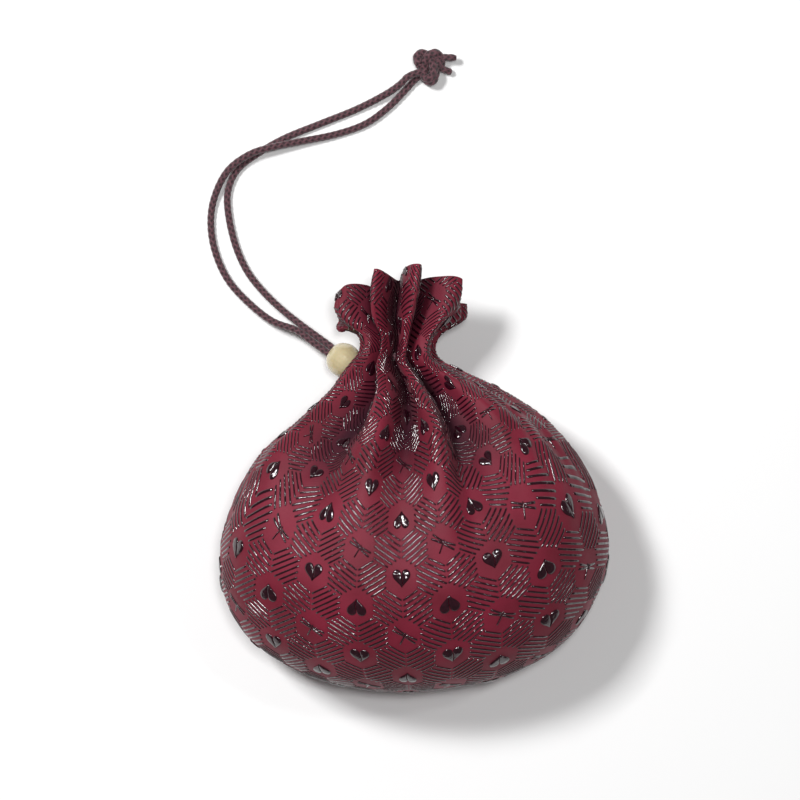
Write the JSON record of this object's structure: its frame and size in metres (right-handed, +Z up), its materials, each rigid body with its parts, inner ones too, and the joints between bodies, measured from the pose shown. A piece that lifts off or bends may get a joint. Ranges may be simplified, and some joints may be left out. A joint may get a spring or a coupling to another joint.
{
  "type": "kinchaku drawstring pouch",
  "caption": "Round leather drawstring pouch with a lining, drawn shut by a braided cord that passes a sliding bead and ends in a knot.",
  "frame": {"origin": "middle of the footprint of the bag itself, without the free cord, on the table it lies on", "axes": "+Y from the closed bottom of the bag to its mouth, +X to the right of someone looking down at the front, +Z up out of the front panel"},
  "size_m": [0.1382, 0.2213, 0.0681],
  "materials": {
    "leather": "matte",
    "lining": "matte",
    "cord": "matte",
    "bead": "polished"
  },
  "bodies": {
    "pouch": {"leather_front_panel": "leather", "leather_back_panel": "leather", "lining_front_panel": "lining", "lining_back_panel": "lining", "drawstring_in_channel": "cord", "drawstring_strand_left": "cord", "drawstring_strand_right": "cord", "drawstring_knot": "cord"},
    "bead": {"cord_bead": "bead"}
  },
  "joints": [
    {"name": "bead_slide", "type": "slide", "parent": "pouch", "child": "bead", "axis": [-0.7801, 0.5681, -0.262], "range_m": [0, 0.012]}
  ]
}
